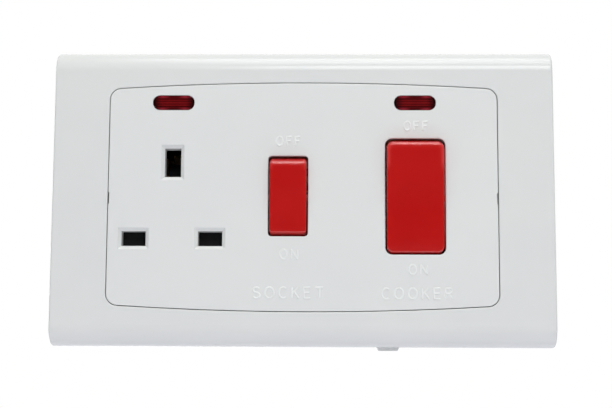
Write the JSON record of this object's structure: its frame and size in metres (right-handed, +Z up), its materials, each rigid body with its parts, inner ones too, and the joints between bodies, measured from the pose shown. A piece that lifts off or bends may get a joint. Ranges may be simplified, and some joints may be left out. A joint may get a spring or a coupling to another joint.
{
  "type": "cooker control unit",
  "caption": "White wall plate with a red cooker rocker switch, a shuttered socket outlet with its own red rocker, and red neon windows in a clip-on surround.",
  "frame": {"origin": "midway between the two wall box screw holes, on the wall plane", "axes": "+X to the right seen from the front, +Y into the wall, +Z up"},
  "size_m": [0.1456, 0.0357, 0.0875],
  "materials": {
    "white_plastic": "smooth moulded white",
    "red_plastic": "smooth moulded red",
    "red_lens": "clear red, ribbed behind",
    "black_plastic": "fine-grained moulded black",
    "plunger_plastic": "smooth natural",
    "brass": "stamped, bare",
    "silver": "riveted, polished",
    "zinc_steel": "zinc plated",
    "spring_steel": "drawn wire",
    "lamp_glass": "clear",
    "resistor_body": "lacquered",
    "tinned_wire": "tinned"
  },
  "bodies": {
    "unit": {"surround_frame": "white_plastic", "front_plate": "white_plastic", "socket_neon_lens": "red_lens", "cooker_neon_lens": "red_lens", "barrier_frame": "black_plastic", "rear_housing": "black_plastic", "cooker_neutral_cradle": "brass", "cooker_line_cradle": "brass", "cooker_neutral_fixed_contact": "brass", "cooker_line_fixed_contact": "brass", "supply_neutral_terminal": "brass", "supply_line_terminal": "brass", "load_neutral_terminal": "brass", "load_line_terminal": "brass", "earth_terminal": "brass", "line_contact": "brass", "neutral_contact": "brass", "earth_contact": "brass", "line_link": "brass", "fixed_contact_tips": "silver", "terminal_screws": "zinc_steel", "housing_screws": "zinc_steel", "shutter_spring": "spring_steel", "socket_neon_lamp": "lamp_glass", "cooker_neon_lamp": "lamp_glass", "socket_resistor": "resistor_body", "cooker_resistor": "resistor_body", "socket_lamp_leads": "tinned_wire", "cooker_lamp_leads": "tinned_wire"},
    "socket_switch": {"socket_rocker": "red_plastic", "socket_plunger_spring": "spring_steel"},
    "socket_plunger_body": {"socket_plunger": "plunger_plastic"},
    "cooker_switch": {"cooker_rocker": "red_plastic", "cooker_neutral_plunger_spring": "spring_steel", "cooker_line_plunger_spring": "spring_steel"},
    "cooker_neutral_plunger_body": {"cooker_neutral_plunger": "plunger_plastic"},
    "cooker_line_plunger_body": {"cooker_line_plunger": "plunger_plastic"},
    "socket_see_saw": {"socket_moving_contact": "brass", "socket_moving_tip": "silver"},
    "cooker_neutral_see_saw": {"cooker_neutral_moving_contact": "brass", "cooker_neutral_moving_tip": "silver"},
    "cooker_line_see_saw": {"cooker_line_moving_contact": "brass", "cooker_line_moving_tip": "silver"},
    "shutter_body": {"shutter": "black_plastic"}
  },
  "joints": [
    {"name": "socket_rocker_tilt", "type": "hinge", "parent": "unit", "child": "socket_switch", "pos_m": [-0.0042, -0.0046, 0], "axis": [-1, 0, 0], "range_deg": [0, 11]},
    {"name": "cooker_rocker_tilt", "type": "hinge", "parent": "unit", "child": "cooker_switch", "pos_m": [0.0326, -0.0046, 0], "axis": [-1, 0, 0], "range_deg": [0, 10]},
    {"name": "socket_contact_tilt", "type": "hinge", "parent": "unit", "child": "socket_see_saw", "pos_m": [-0.0042, 0.013, 0], "axis": [1, 0, 0], "range_deg": [0, 21]},
    {"name": "cooker_neutral_contact_tilt", "type": "hinge", "parent": "unit", "child": "cooker_neutral_see_saw", "pos_m": [0.0271, 0.013, 0], "axis": [1, 0, 0], "range_deg": [0, 21]},
    {"name": "cooker_line_contact_tilt", "type": "hinge", "parent": "unit", "child": "cooker_line_see_saw", "pos_m": [0.0381, 0.013, 0], "axis": [1, 0, 0], "range_deg": [0, 21]},
    {"name": "socket_plunger_slide", "type": "slide", "parent": "socket_switch", "child": "socket_plunger_body", "axis": [0, -0.9954, -0.0958], "range_m": [0, 0.0012], "stiffness_N_per_m": 500, "springref_m": -0.003, "deforming": ["socket_plunger_spring"]},
    {"name": "cooker_neutral_plunger_slide", "type": "slide", "parent": "cooker_switch", "child": "cooker_neutral_plunger_body", "axis": [0, -0.9962, -0.0872], "range_m": [0, 0.0012], "stiffness_N_per_m": 500, "springref_m": -0.003, "deforming": ["cooker_neutral_plunger_spring"]},
    {"name": "cooker_line_plunger_slide", "type": "slide", "parent": "cooker_switch", "child": "cooker_line_plunger_body", "axis": [0, -0.9962, -0.0872], "range_m": [0, 0.0012], "stiffness_N_per_m": 500, "springref_m": -0.003, "deforming": ["cooker_line_plunger_spring"]},
    {"name": "shutter_slide", "type": "slide", "parent": "unit", "child": "shutter_body", "axis": [0, 0, -1], "range_m": [0, 0.0056], "stiffness_N_per_m": 120, "springref_m": -0.004, "deforming": ["shutter_spring"]}
  ],
  "couplings": [
    {"joint": "socket_contact_tilt", "follows": "socket_rocker_tilt", "ratio": 1.909},
    {"joint": "cooker_neutral_contact_tilt", "follows": "cooker_rocker_tilt", "ratio": 2.0999},
    {"joint": "cooker_line_contact_tilt", "follows": "cooker_rocker_tilt", "ratio": 2.0999}
  ]
}
